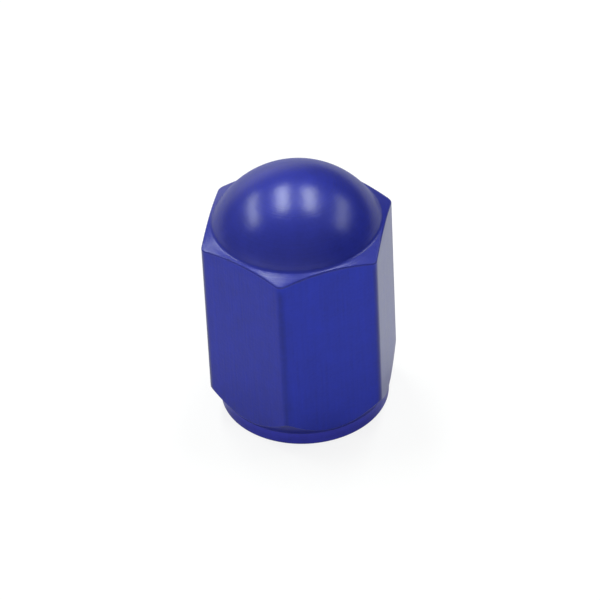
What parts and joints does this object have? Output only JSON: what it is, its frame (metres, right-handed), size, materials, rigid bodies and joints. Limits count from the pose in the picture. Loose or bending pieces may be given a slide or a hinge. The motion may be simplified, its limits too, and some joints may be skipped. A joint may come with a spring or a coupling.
{
  "type": "tyre valve cap",
  "caption": "Domed hexagonal tyre valve cap turned from blue anodised aluminium, with a threaded blind bore and a rubber sealing washer inside.",
  "frame": {"origin": "centre of the round foot, on the plane that the cap stands on", "axes": "+Z along the bore axis from the mouth towards the top of the dome, with two of the flats square to Y and two of the bar's corners on X"},
  "size_m": [0.0114, 0.01, 0.0156],
  "materials": {
    "anodised_aluminium": "satin blue anodised, turned and drawn",
    "seal_rubber": "matt moulded black rubber"
  },
  "bodies": {
    "root": {"cap_body": "anodised_aluminium", "sealing_washer": "seal_rubber"}
  },
  "joints": []
}
